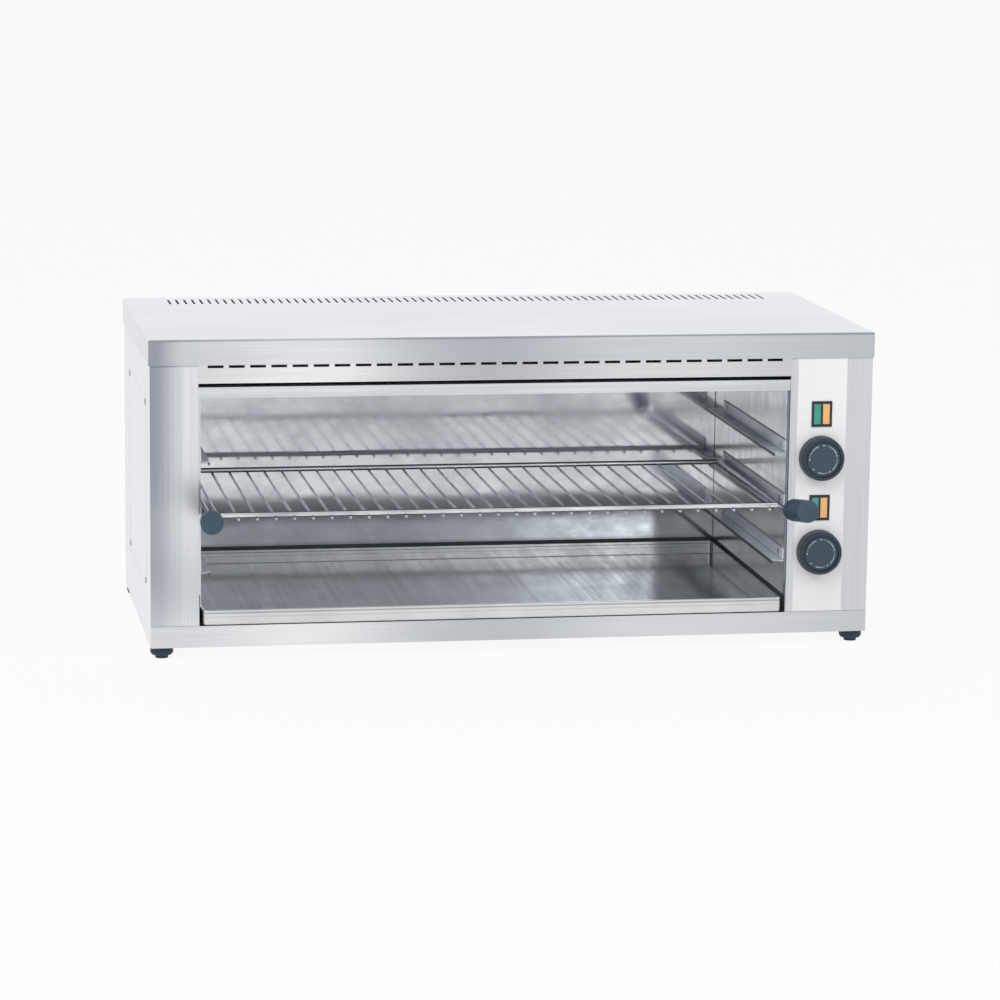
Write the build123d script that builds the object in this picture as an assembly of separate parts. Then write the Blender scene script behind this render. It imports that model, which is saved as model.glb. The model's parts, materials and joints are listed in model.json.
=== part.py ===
from build123d import *

import math
import os

# Salamander toaster: an open-fronted grill cabinet with a pull-out wire rack and a crumb tray.
# All sizes are millimetres. The pieces are drawn with x to the right of the cabinet's middle,
# y from the front face of the lid towards the back, and z up from the underside of the base.
# place() then moves them so that the origin lies on the table, under the middle of the whole.

# Overall cabinet
WIDTH = 800.0
DEPTH = 370.0
HEIGHT = 336.0
SHEET = 1.0
LINER = 0.8
OVERHANG = 1.5
SEAM = 0.3

# Feet
FOOT_HEIGHT = 13.0
FOOT_R = 12.5
FOOT_TIP_R = 7.0
FOOT_INSET_X = 13.0
FOOT_INSET_Y = 16.0
FOOT_SCREW_R = 2.0
FOOT_HEAD_R = 3.6
FOOT_HEAD_H = 2.4
FOOT_RECESS_R = 4.4
FOOT_RECESS_H = 4.5
FOOT_SCREW_END = 5.0

# Lid
LIP_HEIGHT = 27.7
LID_BEND_R = 2.0
VENT_FROM_REAR = 20.0
VENT_LENGTH = 42.0
VENT_WIDTH = 2.6
VENT_FROM_SIDE = 50.4
VENT_PITCH = 9.2

# Front frame
RAIL_HEIGHT = 23.5
RAIL_FLANGE = 14.0
LEFT_COLUMN_WIDTH = 52.0
RIGHT_COLUMN_WIDTH = 92.5
COLUMN_FLANGE = 12.0
COLUMN_BEHIND_LIP = 24.0
CROSSBAR_HEIGHT = 19.8
CROSSBAR_BEHIND_LIP = 13.0
CROSSBAR_FLANGE = 12.0
SLOT_LENGTH = 17.0
SLOT_HEIGHT = 3.8
SLOT_COUNT = 28
SLOT_ABOVE_LIP_EDGE = 0.7
SLOT_FROM_LEFT = 18.5
SLOT_FROM_RIGHT = 18.4
COOLING_GAP = 4.3
HOOD_BAR_HEIGHT = 11.7
HOOD_BAR_TOP_FLANGE = 10.0
HOOD_BAR_BOTTOM_FLANGE = 6.0

# Grill chamber
WALL_INSET = 2.5
WALL_START = 4.0
CORNER_GAP = 2.0
BACK_RECESS = 4.0
BEHIND_CHAMBER = 20.3
WALL_FOOT = 44.0
PAN_SIDE_TOP = 57.0

# Rack runners
RUNNER_LEDGE_HEIGHTS = (80.5, 141.0, 201.5)
RUNNER_LEVELS = ("lower", "middle", "upper")
RUNNER_LEDGE = 11.0
RUNNER_FLANGE = 15.5
RUNNER_LIP = 4.5
RUNNER_SHEET = 1.0
RUNNER_FRONT = 8.0
RUNNER_CORNER_CUT = 9.0
RUNNER_END_GAP = 2.0
RUNNER_FLANGE_SHORT = 46.0
RUNNER_SCREW_R = 2.0
RUNNER_HEAD_R = 3.4
RUNNER_HEAD_H = 1.0
RUNNER_SCREW_INSET = 16.0

# Wire rack
ROD_R = 3.0
WIRE_R = 1.5
WIRE_COUNT = 31
WIRE_FROM_SIDE_ROD = 11.7
WIRE_OVERHANG = 4.5
WELD_SINK = 0.25
RACK_LEFT_PLAY = 4.7
RACK_RIGHT_PLAY = 2.3
RACK_FRONT = 5.0
RACK_FROM_BACK = 50.2
RUN_CLEARANCE = 0.3

# Rack handles
PRONG_STRAIGHT = 27.0
HANDLE_TILT = 8.0
HANDLE_SPLAY = 4.7
HANDLE_R = 12.3
HANDLE_LENGTH = 43.0
HANDLE_TAPER = 18.0
HANDLE_NECK_R = 5.5
HANDLE_REACH = 97.5
HANDLE_EDGE = 1.2
ROD_IN_HANDLE = 42.0

# Crumb tray
TRAY_SIDE_GAP = 4.2
TRAY_SHEET = 0.8
TRAY_FRONT = 3.0
TRAY_REAR_GAP = 3.0
TRAY_HEIGHT = 16.4
TRAY_CORNER_R = 5.0
TRAY_BEND_R = 1.4
TRAY_HEM = 2.6
TRAY_BEAD_R = 1.3

# Control panel
OVERLAY_INSET = 8.0
OVERLAY_WIDTH = 55.5
OVERLAY_THICK = 0.5
OVERLAY_MARGIN = 0.6
KNOB_HEIGHTS = (197.0, 91.5)
LAMP_HEIGHTS = (245.9, 141.0)
CONTROL_LEVELS = ("upper", "lower")
LAMP_WIDTH = 23.0
LAMP_HEIGHT = 28.6
LAMP_RIM = 0.9
LAMP_BODY_DEPTH = 22.0
LAMP_BODY_INSET = 1.4
LENS_WIDTH = 7.8
LENS_HEIGHT = 22.6
LENS_DIVIDER = 2.2
LENS_DEPTH = 3.0
LENS_SET_BACK = 0.3

# Knobs and energy regulators
KNOB_R = 24.9
KNOB_DEPTH = 13.0
KNOB_GAP = 0.5
KNOB_RIM = 3.6
KNOB_TAPER = 0.8
KNOB_GROOVE = 2.6
KNOB_GROOVE_DEPTH = 2.2
KNOB_DISC_DROP = 0.6
KNOB_HOLLOW_R = 19.5
KNOB_HOLLOW_DEPTH = 5.0
SHAFT_R = 3.0
SHAFT_IN_REGULATOR = 18.0
SHAFT_PLAY = 0.05
REGULATOR_SIZE = 44.0
REGULATOR_DEPTH = 28.0
REGULATOR_BUSH_R = 5.5
REGULATOR_SCREW_SPACING = 28.0
REGULATOR_SCREW_R = 2.0
REGULATOR_HEAD_R = 3.6
REGULATOR_HEAD_H = 1.6
REGULATOR_SCREW_LENGTH = 8.0
TAB_COUNT = 4
TAB_PITCH = 9.0
TAB_WIDTH = 6.3
TAB_THICK = 0.8
TAB_LENGTH = 8.0

# Heating elements
TUBE_R = 5.0
TUBE_COUNT = 4
TUBE_PITCH = 78.0
TUBE_DROP = 10.0
TUBE_HOLE_PLAY = 1.6
CAP_R = 6.5
CAP_LENGTH = 14.0
CAP_SOCKET = 8.0
CAP_STAND_OFF = 4.0
STUD_R = 1.6
STUD_LENGTH = 7.0
BRACKET_HEIGHT = 24.0
BRACKET_MARGIN = 22.0

# Side and rear panels
PANEL_FLANGE = 10.0
BEND_RELIEF = 0.4
BEAD_FRONT = 53.0
BEAD_FROM_REAR = 78.0
BEAD_BOTTOM = 53.5
BEAD_FROM_TOP = 65.5
BEAD_WIDTH = 5.0
BEAD_DEPTH = 0.5
BEAD_CORNER_R = 8.0
PANEL_SCREW_R = 1.8
PANEL_HEAD_R = 3.4
PANEL_HEAD_H = 1.1
PANEL_SCREW_LENGTH = 7.0
REAR_SCREW_FROM_BASE = 30.0
REAR_SCREW_FROM_TOP = 42.5
REAR_VENT_LENGTH = 44.0
REAR_VENT_WIDTH = 4.0
REAR_VENT_PITCH = 11.0
REAR_VENT_COUNT = 26
REAR_VENT_FROM_TOP = 90.5
LID_SCREW_FROM_SIDE = 150.0
LID_SCREW_FROM_TOP = 14.5

# Cable entry
GLAND_FROM_SIDE = 53.5
GLAND_Z = 42.0
GLAND_THREAD_R = 8.0
GLAND_FLANGE_R = 12.0
GLAND_FLANGE = 5.0
GLAND_DOME_R = 9.5
GLAND_DOME = 11.0
GLAND_BORE_R = 4.5
GLAND_INNER = 9.0
GLAND_NUT_H = 4.0
TERMINAL_LENGTH = 54.0
TERMINAL_WIDTH = 20.0
TERMINAL_HEIGHT = 16.0
TERMINAL_POLES = 5
TERMINAL_POLE_R = 2.8
TERMINAL_POLE_DEPTH = 4.0
TERMINAL_FROM_REAR = 42.0
WIRE_LOOM_R = 2.5
LOOM_BEND_R = 12.0

# Values worked out from those above
BODY_HALF = WIDTH / 2 - OVERHANG
BODY_FRONT = OVERHANG
BODY_REAR = DEPTH - OVERHANG
FACE_BACK = BODY_FRONT + SHEET
LID_UNDER = HEIGHT - SHEET
LIP_BOTTOM = HEIGHT - LIP_HEIGHT
OPEN_LEFT = LEFT_COLUMN_WIDTH - BODY_HALF
OPEN_RIGHT = BODY_HALF - RIGHT_COLUMN_WIDTH
OPEN_MIDDLE = (OPEN_LEFT + OPEN_RIGHT) / 2
WALL_LEFT = OPEN_LEFT + WALL_INSET
WALL_RIGHT = OPEN_RIGHT - WALL_INSET
FLOOR_TOP = RAIL_HEIGHT
FLOOR_UNDER = RAIL_HEIGHT - LINER
CROSSBAR_BOTTOM = LIP_BOTTOM - CROSSBAR_HEIGHT
HOOD_TOP = CROSSBAR_BOTTOM - COOLING_GAP
HOOD_UNDER = HOOD_TOP - LINER
HOOD_BAR_BOTTOM = HOOD_TOP - HOOD_BAR_HEIGHT
HOOD_BAR_FACE = WALL_START - LINER
BACK_WALL = BODY_REAR - BEHIND_CHAMBER
WALL_END = BACK_WALL - CORNER_GAP
PAN_REAR = BACK_WALL + BACK_RECESS
SIDE_INNER = BODY_HALF - SHEET
REAR_INNER = BODY_REAR - SHEET
CONTROL_X = OPEN_RIGHT + OVERLAY_INSET + OVERLAY_WIDTH / 2
OVERLAY_FACE = BODY_FRONT - OVERLAY_THICK
RACK_LEDGE = RUNNER_LEDGE_HEIGHTS[1]
ROD_Z = RACK_LEDGE + RUN_CLEARANCE + ROD_R
WIRE_Z = ROD_Z - ROD_R - WIRE_R + WELD_SINK
RACK_LEFT = WALL_LEFT + RUNNER_SHEET + RACK_LEFT_PLAY + ROD_R
RACK_RIGHT = WALL_RIGHT - RUNNER_SHEET - RACK_RIGHT_PLAY - ROD_R
RACK_BACK = BACK_WALL - RACK_FROM_BACK
WIRE_PITCH = (RACK_RIGHT - RACK_LEFT - 2 * WIRE_FROM_SIDE_ROD) / (WIRE_COUNT - 1)
TRAY_LEFT = OPEN_LEFT + TRAY_SIDE_GAP
TRAY_RIGHT = OPEN_RIGHT - TRAY_SIDE_GAP
TRAY_REAR = BACK_WALL - TRAY_REAR_GAP
TRAY_BOTTOM = FLOOR_TOP + RUN_CLEARANCE
TRAY_TOP = TRAY_BOTTOM + TRAY_HEIGHT
KNOB_BACK = OVERLAY_FACE - KNOB_GAP
KNOB_FACE = KNOB_BACK - KNOB_DEPTH
TUBE_Z = HOOD_UNDER - TUBE_DROP
TUBE_FIRST_Y = WALL_START + (BACK_WALL - WALL_START - TUBE_PITCH * (TUBE_COUNT - 1)) / 2
TUBE_YS = [TUBE_FIRST_Y + TUBE_PITCH * i for i in range(TUBE_COUNT)]
CAP_INNER_LEFT = WALL_LEFT - LINER - CAP_STAND_OFF
CAP_INNER_RIGHT = WALL_RIGHT + LINER + CAP_STAND_OFF
FOOT_XS = (-BODY_HALF + FOOT_INSET_X, BODY_HALF - FOOT_INSET_X)
FOOT_YS = (BODY_FRONT + FOOT_INSET_Y, BODY_REAR - FOOT_INSET_Y)
GLAND_REACH = GLAND_FLANGE + GLAND_DOME
GLAND_X = BODY_HALF - GLAND_FROM_SIDE
VENT_COUNT = int((WIDTH - 2 * VENT_FROM_SIDE) / VENT_PITCH + 0.5) + 1
SLOT_PITCH = (OPEN_RIGHT - OPEN_LEFT - SLOT_FROM_LEFT - SLOT_FROM_RIGHT) / (SLOT_COUNT - 1)
BEAD_REAR = DEPTH - BEAD_FROM_REAR
BEAD_TOP = HEIGHT - BEAD_FROM_TOP
REAR_SCREW_TOP = HEIGHT - REAR_SCREW_FROM_TOP
REAR_SCREW_MIDDLE = (REAR_SCREW_FROM_BASE + REAR_SCREW_TOP) / 2
REAR_SCREW_HEIGHTS = (REAR_SCREW_FROM_BASE, REAR_SCREW_MIDDLE, REAR_SCREW_TOP)
REAR_VENT_HEIGHT = HEIGHT - REAR_VENT_FROM_TOP
LID_SCREW_SPOTS = (LID_SCREW_FROM_SIDE - WIDTH / 2, 0.0, WIDTH / 2 - LID_SCREW_FROM_SIDE)
LID_SCREW_HEIGHT = HEIGHT - LID_SCREW_FROM_TOP
PRONG_RISE = math.tan(math.radians(HANDLE_TILT))
PRONG_SPLAY = math.tan(math.radians(HANDLE_SPLAY))
PRONG_LEAN = math.atan(math.hypot(PRONG_RISE, PRONG_SPLAY))
FRONT_REACH = HANDLE_REACH + (HANDLE_R - HANDLE_EDGE) * math.sin(PRONG_LEAN)
REAR_REACH = BODY_REAR + GLAND_REACH
MIDDLE_Y = (REAR_REACH - FRONT_REACH) / 2


def block(x0, x1, y0, y1, z0, z1):
    """A box from its lowest to its highest corner."""
    centre = ((x0 + x1) / 2, (y0 + y1) / 2, (z0 + z1) / 2)
    return Pos(*centre) * Box(x1 - x0, y1 - y0, z1 - z0)


def rod(start, end, radius):
    """A round bar from one point to another."""
    a = Vector(*start)
    b = Vector(*end)
    plane = Plane(origin=a, z_dir=b - a)
    return plane * Cylinder(radius, (b - a).length, align=(Align.CENTER, Align.CENTER, Align.MIN))


def turned(points, plane):
    """A solid turned about the plane's x axis, from (along, radius) points."""
    outline = make_face(Polyline(*points, close=True))
    return revolve(plane * outline, Axis(plane.origin, plane.x_dir))


def along_y(x, y, z):
    """A plane whose x axis runs to the back from a point, for turned pieces."""
    return Plane(origin=(x, y, z), x_dir=(0, 1, 0), z_dir=(1, 0, 0))


def mirrored(shape):
    """The same piece on the other side of the chamber."""
    return mirror(shape, about=Plane(origin=(OPEN_MIDDLE, 0, 0), z_dir=(1, 0, 0)))


def base_pan():
    floor = block(-BODY_HALF, BODY_HALF, FACE_BACK, BODY_REAR, 0, SHEET)
    rail = block(-BODY_HALF, BODY_HALF, BODY_FRONT, FACE_BACK, 0, RAIL_HEIGHT)
    flange_end = FACE_BACK + RAIL_FLANGE
    flange = block(OPEN_LEFT, OPEN_RIGHT, FACE_BACK, flange_end, FLOOR_UNDER - SHEET, FLOOR_UNDER)
    pan = floor + rail + flange
    holes = [rod((x, y, -1), (x, y, SHEET + 1), FOOT_SCREW_R) for x in FOOT_XS for y in FOOT_YS]
    return pan - holes


def foot(x, y):
    # A rubber foot: a short neck under the base, a wide shoulder and a narrow tread.
    profile = [
        (0, FOOT_SCREW_R),
        (0, FOOT_R - 0.8),
        (2.0, FOOT_R),
        (0.5 * FOOT_HEIGHT, FOOT_R),
        (0.7 * FOOT_HEIGHT, 0.88 * FOOT_R),
        (0.78 * FOOT_HEIGHT, FOOT_TIP_R + 1.5),
        (0.82 * FOOT_HEIGHT, FOOT_TIP_R),
        (FOOT_HEIGHT, FOOT_TIP_R),
        (FOOT_HEIGHT, FOOT_RECESS_R),
        (FOOT_HEIGHT - FOOT_RECESS_H, FOOT_RECESS_R),
        (FOOT_HEIGHT - FOOT_RECESS_H, FOOT_SCREW_R),
    ]
    return turned(profile, Plane(origin=(x, y, 0), x_dir=(0, 0, -1), z_dir=(0, 1, 0)))


def foot_screws():
    seat = -FOOT_HEIGHT + FOOT_RECESS_H
    screws = []
    for x in FOOT_XS:
        for y in FOOT_YS:
            shank = rod((x, y, seat), (x, y, SHEET + FOOT_SCREW_END), FOOT_SCREW_R)
            head = rod((x, y, seat - FOOT_HEAD_H), (x, y, seat), FOOT_HEAD_R)
            screws.append(shank + head)
    return Compound(screws)


def folded_box(inset, radius, top):
    """The lid's outer or inner form, with bent edges."""
    half = WIDTH / 2 - inset
    form = block(-half, half, inset, DEPTH - inset, LIP_BOTTOM, top)
    lower = form.edges().filter_by(GeomType.LINE).group_by(Axis.Z)[0]
    bent = [edge for edge in form.edges() if edge not in lower]
    return fillet(bent, radius)


def top_cover():
    shell = folded_box(0, LID_BEND_R, HEIGHT) - folded_box(SHEET, LID_BEND_R - SHEET, LID_UNDER)
    vent_y = DEPTH - VENT_FROM_REAR - VENT_LENGTH / 2
    slot = extrude(SlotOverall(VENT_LENGTH, VENT_WIDTH, rotation=90), 3 * SHEET)
    vents = [
        Pos(VENT_PITCH * (i - (VENT_COUNT - 1) / 2), vent_y, LID_UNDER - SHEET) * slot
        for i in range(VENT_COUNT)
    ]
    screw_holes = [
        rod((x, REAR_INNER, LID_SCREW_HEIGHT), (x, DEPTH + 1, LID_SCREW_HEIGHT), PANEL_SCREW_R)
        for x in LID_SCREW_SPOTS
    ]
    return shell - vents - screw_holes


def column(outer, inner):
    """A front column: a face, a flange along the side panel and one along the chamber."""
    side = 1 if outer > 0 else -1
    top = HEIGHT - LIP_HEIGHT + COLUMN_BEHIND_LIP
    x0, x1 = sorted((outer, inner))
    face = block(x0, x1, BODY_FRONT, FACE_BACK, RAIL_HEIGHT + SEAM, top)
    skin = outer - side * SHEET
    o0, o1 = sorted((skin, skin - side * SHEET))
    outer_flange = block(o0, o1, FACE_BACK, FACE_BACK + COLUMN_FLANGE, SHEET, top)
    i0, i1 = sorted((inner, inner + side * SHEET))
    inner_flange = block(i0, i1, FACE_BACK, FACE_BACK + COLUMN_FLANGE, SHEET, top)
    return face + outer_flange + inner_flange


def left_front_column():
    return column(-BODY_HALF, OPEN_LEFT)


def lamp_cutout(z):
    half_w = LAMP_WIDTH / 2 - LAMP_BODY_INSET
    half_h = LAMP_HEIGHT / 2 - LAMP_BODY_INSET
    return block(CONTROL_X - half_w, CONTROL_X + half_w, -1, FACE_BACK + 1, z - half_h, z + half_h)


def regulator_screw_spots(z):
    half = REGULATOR_SCREW_SPACING / 2
    return [(CONTROL_X - half, z), (CONTROL_X + half, z)]


def control_holes():
    """What passes through the overlay and the column behind it."""
    cuts = [lamp_cutout(z) for z in LAMP_HEIGHTS]
    for z in KNOB_HEIGHTS:
        cuts.append(rod((CONTROL_X, -1, z), (CONTROL_X, FACE_BACK + 1, z), REGULATOR_BUSH_R))
        for sx, sz in regulator_screw_spots(z):
            cuts.append(rod((sx, -1, sz), (sx, FACE_BACK + 1, sz), REGULATOR_SCREW_R))
    return cuts


def right_front_column():
    return column(BODY_HALF, OPEN_RIGHT) - control_holes()


def control_overlay():
    left = OPEN_RIGHT + OVERLAY_INSET
    bottom = RAIL_HEIGHT + SEAM + OVERLAY_MARGIN
    top = LIP_BOTTOM - OVERLAY_MARGIN
    plate = block(left, left + OVERLAY_WIDTH, OVERLAY_FACE, BODY_FRONT, bottom, top)
    return plate - control_holes()


def front_crossbar():
    top = LIP_BOTTOM + CROSSBAR_BEHIND_LIP
    face = block(OPEN_LEFT, OPEN_RIGHT, BODY_FRONT, FACE_BACK, CROSSBAR_BOTTOM, top)
    flange_end = FACE_BACK + CROSSBAR_FLANGE
    flange = block(OPEN_LEFT, OPEN_RIGHT, FACE_BACK, flange_end, top - SHEET, top)
    slot_top = LIP_BOTTOM + SLOT_ABOVE_LIP_EDGE
    slots = []
    for i in range(SLOT_COUNT):
        x = OPEN_LEFT + SLOT_FROM_LEFT + SLOT_PITCH * i
        cut = (x - SLOT_LENGTH / 2, x + SLOT_LENGTH / 2, 0, FACE_BACK + 1, slot_top - SLOT_HEIGHT, slot_top)
        slots.append(block(*cut))
    return face + flange - slots


def hood_front_bar():
    face = block(OPEN_LEFT, OPEN_RIGHT, HOOD_BAR_FACE, WALL_START, HOOD_BAR_BOTTOM, HOOD_TOP)
    top_end = WALL_START + HOOD_BAR_TOP_FLANGE
    top = block(OPEN_LEFT, OPEN_RIGHT, WALL_START, top_end, HOOD_UNDER, HOOD_TOP)
    low_end = WALL_START + HOOD_BAR_BOTTOM_FLANGE
    low = block(WALL_LEFT, WALL_RIGHT, WALL_START, low_end, HOOD_BAR_BOTTOM, HOOD_BAR_BOTTOM + LINER)
    return face + top + low


def ceiling_reflector():
    start = WALL_START + HOOD_BAR_TOP_FLANGE
    return block(WALL_LEFT - LINER, WALL_RIGHT + LINER, start, BACK_WALL + LINER, HOOD_UNDER, HOOD_TOP)


def chamber_floor():
    """A pan under the tray, with sides that stand up outside the chamber's walls."""
    floor = block(OPEN_LEFT, OPEN_RIGHT, FACE_BACK, PAN_REAR, FLOOR_UNDER, FLOOR_TOP)
    left = block(OPEN_LEFT, OPEN_LEFT + LINER, FACE_BACK, PAN_REAR, FLOOR_TOP, PAN_SIDE_TOP)
    right = block(OPEN_RIGHT - LINER, OPEN_RIGHT, FACE_BACK, PAN_REAR, FLOOR_TOP, PAN_SIDE_TOP)
    back_start = PAN_REAR - LINER
    back = block(OPEN_LEFT, OPEN_RIGHT, back_start, PAN_REAR, FLOOR_TOP, PAN_SIDE_TOP)
    leg = block(OPEN_LEFT, OPEN_RIGHT, back_start, PAN_REAR, SHEET, FLOOR_UNDER)
    return floor + left + right + back + leg


def chamber_back_wall():
    """The back of the chamber: a plate with a foot flange that rests against the pan's back."""
    left = OPEN_LEFT + LINER
    right = OPEN_RIGHT - LINER
    skin = BACK_WALL + LINER
    plate = block(left, right, BACK_WALL, skin, WALL_FOOT, HOOD_UNDER)
    flange = block(left, right, skin, PAN_REAR - LINER, WALL_FOOT, WALL_FOOT + LINER)
    return plate + flange


def chamber_right_wall():
    outer = WALL_RIGHT + LINER
    plate = block(WALL_RIGHT, outer, WALL_START, WALL_END, WALL_FOOT, HOOD_UNDER)
    front = block(outer, OPEN_RIGHT, WALL_START, WALL_START + LINER, PAN_SIDE_TOP, HOOD_UNDER)
    foot_flange = block(outer, OPEN_RIGHT - LINER, WALL_START, WALL_END, WALL_FOOT, WALL_FOOT + LINER)
    wall = plate + front + foot_flange
    holes = [
        rod((WALL_RIGHT - 1, y, TUBE_Z), (outer + 1, y, TUBE_Z), TUBE_R + TUBE_HOLE_PLAY)
        for y in TUBE_YS
    ]
    screws = [
        rod((WALL_RIGHT - 1, y, z), (outer + 1, y, z), RUNNER_SCREW_R)
        for y, z in runner_screw_spots()
    ]
    return wall - holes - screws


def runner_screw_spots():
    front = RUNNER_FRONT + RUNNER_SCREW_INSET
    back = BACK_WALL - RUNNER_END_GAP - RUNNER_FLANGE_SHORT - RUNNER_SCREW_INSET
    middle = RUNNER_FLANGE / 2 + RUNNER_SHEET / 2
    return [(y, ledge + middle) for ledge in RUNNER_LEDGE_HEIGHTS for y in (front, back)]


def runner_right(ledge):
    """A rack runner: a flange screwed to the wall, a ledge and a lip turned down."""
    back = BACK_WALL - RUNNER_END_GAP
    skin = WALL_RIGHT - RUNNER_SHEET
    edge = WALL_RIGHT - RUNNER_LEDGE
    flange_end = back - RUNNER_FLANGE_SHORT
    flange = block(skin, WALL_RIGHT, RUNNER_FRONT, flange_end, ledge, ledge + RUNNER_FLANGE)
    shelf = block(edge, WALL_RIGHT, RUNNER_FRONT, back, ledge - RUNNER_SHEET, ledge)
    lip = block(edge, edge + RUNNER_SHEET, RUNNER_FRONT, back, ledge - RUNNER_LIP, ledge - RUNNER_SHEET)
    profile = flange + shelf + lip
    corner = make_face(
        Polyline(
            (edge - 1, RUNNER_FRONT - 1),
            (skin, RUNNER_FRONT - 1),
            (skin, RUNNER_FRONT),
            (edge - 1, RUNNER_FRONT + RUNNER_CORNER_CUT),
            close=True,
        )
    )
    cut = extrude(Pos(0, 0, ledge - RUNNER_LIP - 1) * corner, RUNNER_LIP + 2)
    holes = [
        rod((skin - 1, y, z), (WALL_RIGHT + 1, y, z), RUNNER_SCREW_R)
        for y, z in runner_screw_spots()
        if ledge < z < ledge + RUNNER_FLANGE
    ]
    return profile - cut - holes


def runner_screws():
    skin = WALL_RIGHT - RUNNER_SHEET
    screws = []
    for y, z in runner_screw_spots():
        head = rod((skin - RUNNER_HEAD_H, y, z), (skin, y, z), RUNNER_HEAD_R)
        shank = rod((skin, y, z), (WALL_RIGHT + LINER + 3.0, y, z), RUNNER_SCREW_R)
        screw = head + shank
        screws.append(screw)
        screws.append(mirrored(screw))
    return Compound(screws)


def side_panel_right():
    """The right side: a sheet with a pressed outline and flanges for the lid and the back."""
    skin = SIDE_INNER
    sheet = block(skin, BODY_HALF, FACE_BACK, BODY_REAR, SHEET, LID_UNDER - BEND_RELIEF)
    flange_start = FACE_BACK + COLUMN_FLANGE + SEAM
    top = block(
        skin - PANEL_FLANGE, skin, flange_start, REAR_INNER - SHEET, LID_UNDER - SHEET, LID_UNDER
    )
    rear = block(skin - PANEL_FLANGE, skin, REAR_INNER - SHEET, REAR_INNER, SHEET, LID_UNDER)
    centre = ((BEAD_FRONT + BEAD_REAR) / 2, (BEAD_BOTTOM + BEAD_TOP) / 2)
    length = BEAD_REAR - BEAD_FRONT
    height = BEAD_TOP - BEAD_BOTTOM
    ring = RectangleRounded(length, height, BEAD_CORNER_R) - RectangleRounded(
        length - 2 * BEAD_WIDTH, height - 2 * BEAD_WIDTH, BEAD_CORNER_R - BEAD_WIDTH / 2
    )
    outside = Plane(origin=(BODY_HALF, *centre), x_dir=(0, 1, 0), z_dir=(1, 0, 0))
    inside = Plane(origin=(skin, *centre), x_dir=(0, 1, 0), z_dir=(1, 0, 0))
    groove = extrude(outside * ring, -BEAD_DEPTH)
    ridge = extrude(inside * ring, -BEAD_DEPTH)
    panel = sheet + top + rear + ridge - groove
    holes = [
        rod((skin - 1, y, z), (BODY_HALF + 1, y, z), PANEL_SCREW_R) for y, z in side_screw_spots()
    ]
    rear_holes = [
        rod((rear_screw_x(), REAR_INNER - 2, z), (rear_screw_x(), BODY_REAR + 1, z), PANEL_SCREW_R)
        for z in REAR_SCREW_HEIGHTS
    ]
    return panel - holes - rear_holes


def side_screw_spots():
    inner = BEAD_WIDTH + PANEL_HEAD_R + 1.5
    ys = (BEAD_FRONT + inner, BEAD_REAR - inner)
    zs = (BEAD_BOTTOM + inner, BEAD_TOP - inner)
    return [(y, z) for y in ys for z in zs]


def rear_screw_x():
    return SIDE_INNER - PANEL_FLANGE / 2


def side_panel_left():
    return mirror(side_panel_right(), about=Plane.YZ)


def rear_panel():
    sheet = block(-SIDE_INNER, SIDE_INNER, REAR_INNER, BODY_REAR, SHEET, LID_UNDER - LID_BEND_R / 2)
    slot = extrude(Plane.XZ * SlotOverall(REAR_VENT_LENGTH, REAR_VENT_WIDTH, rotation=90), -3 * SHEET)
    vents = [
        Pos(REAR_VENT_PITCH * (i - (REAR_VENT_COUNT - 1) / 2), REAR_INNER - SHEET, REAR_VENT_HEIGHT)
        * slot
        for i in range(REAR_VENT_COUNT)
    ]
    gland_hole = rod((GLAND_X, REAR_INNER - 1, GLAND_Z), (GLAND_X, BODY_REAR + 1, GLAND_Z), GLAND_THREAD_R)
    holes = []
    for x in (-rear_screw_x(), rear_screw_x()):
        for z in REAR_SCREW_HEIGHTS:
            holes.append(rod((x, REAR_INNER - 1, z), (x, BODY_REAR + 1, z), PANEL_SCREW_R))
    for x in LID_SCREW_SPOTS:
        holes.append(
            rod((x, REAR_INNER - 1, LID_SCREW_HEIGHT), (x, DEPTH, LID_SCREW_HEIGHT), PANEL_SCREW_R)
        )
    return sheet - vents - gland_hole - holes


def panel_screw(seat, way):
    """One casing screw: its head stands on the seat and its shank runs the other way."""
    a = Vector(*seat)
    out = Vector(*way)
    head = rod(a, a + out * PANEL_HEAD_H, PANEL_HEAD_R)
    shank = rod(a - out * PANEL_SCREW_LENGTH, a, PANEL_SCREW_R)
    return head + shank


def casing_screws():
    screws = []
    for y, z in side_screw_spots():
        screws.append(panel_screw((BODY_HALF, y, z), (1, 0, 0)))
        screws.append(panel_screw((-BODY_HALF, y, z), (-1, 0, 0)))
    for x in (-rear_screw_x(), rear_screw_x()):
        for z in REAR_SCREW_HEIGHTS:
            screws.append(panel_screw((x, BODY_REAR, z), (0, 1, 0)))
    for x in LID_SCREW_SPOTS:
        screws.append(panel_screw((x, DEPTH, LID_SCREW_HEIGHT), (0, 1, 0)))
    return Compound(screws)


def cable_gland():
    # Outside: a flange and a domed nut. Inside: a threaded neck.
    profile = [
        (-SHEET - GLAND_INNER, GLAND_BORE_R),
        (-SHEET - GLAND_INNER, GLAND_THREAD_R),
        (0, GLAND_THREAD_R),
        (0, GLAND_FLANGE_R),
        (GLAND_FLANGE, GLAND_FLANGE_R),
        (GLAND_FLANGE, GLAND_DOME_R),
        (GLAND_FLANGE + GLAND_DOME * 0.6, GLAND_DOME_R),
        (GLAND_REACH, GLAND_BORE_R + 1.6),
        (GLAND_REACH, GLAND_BORE_R),
    ]
    return turned(profile, along_y(GLAND_X, BODY_REAR, GLAND_Z))


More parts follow.
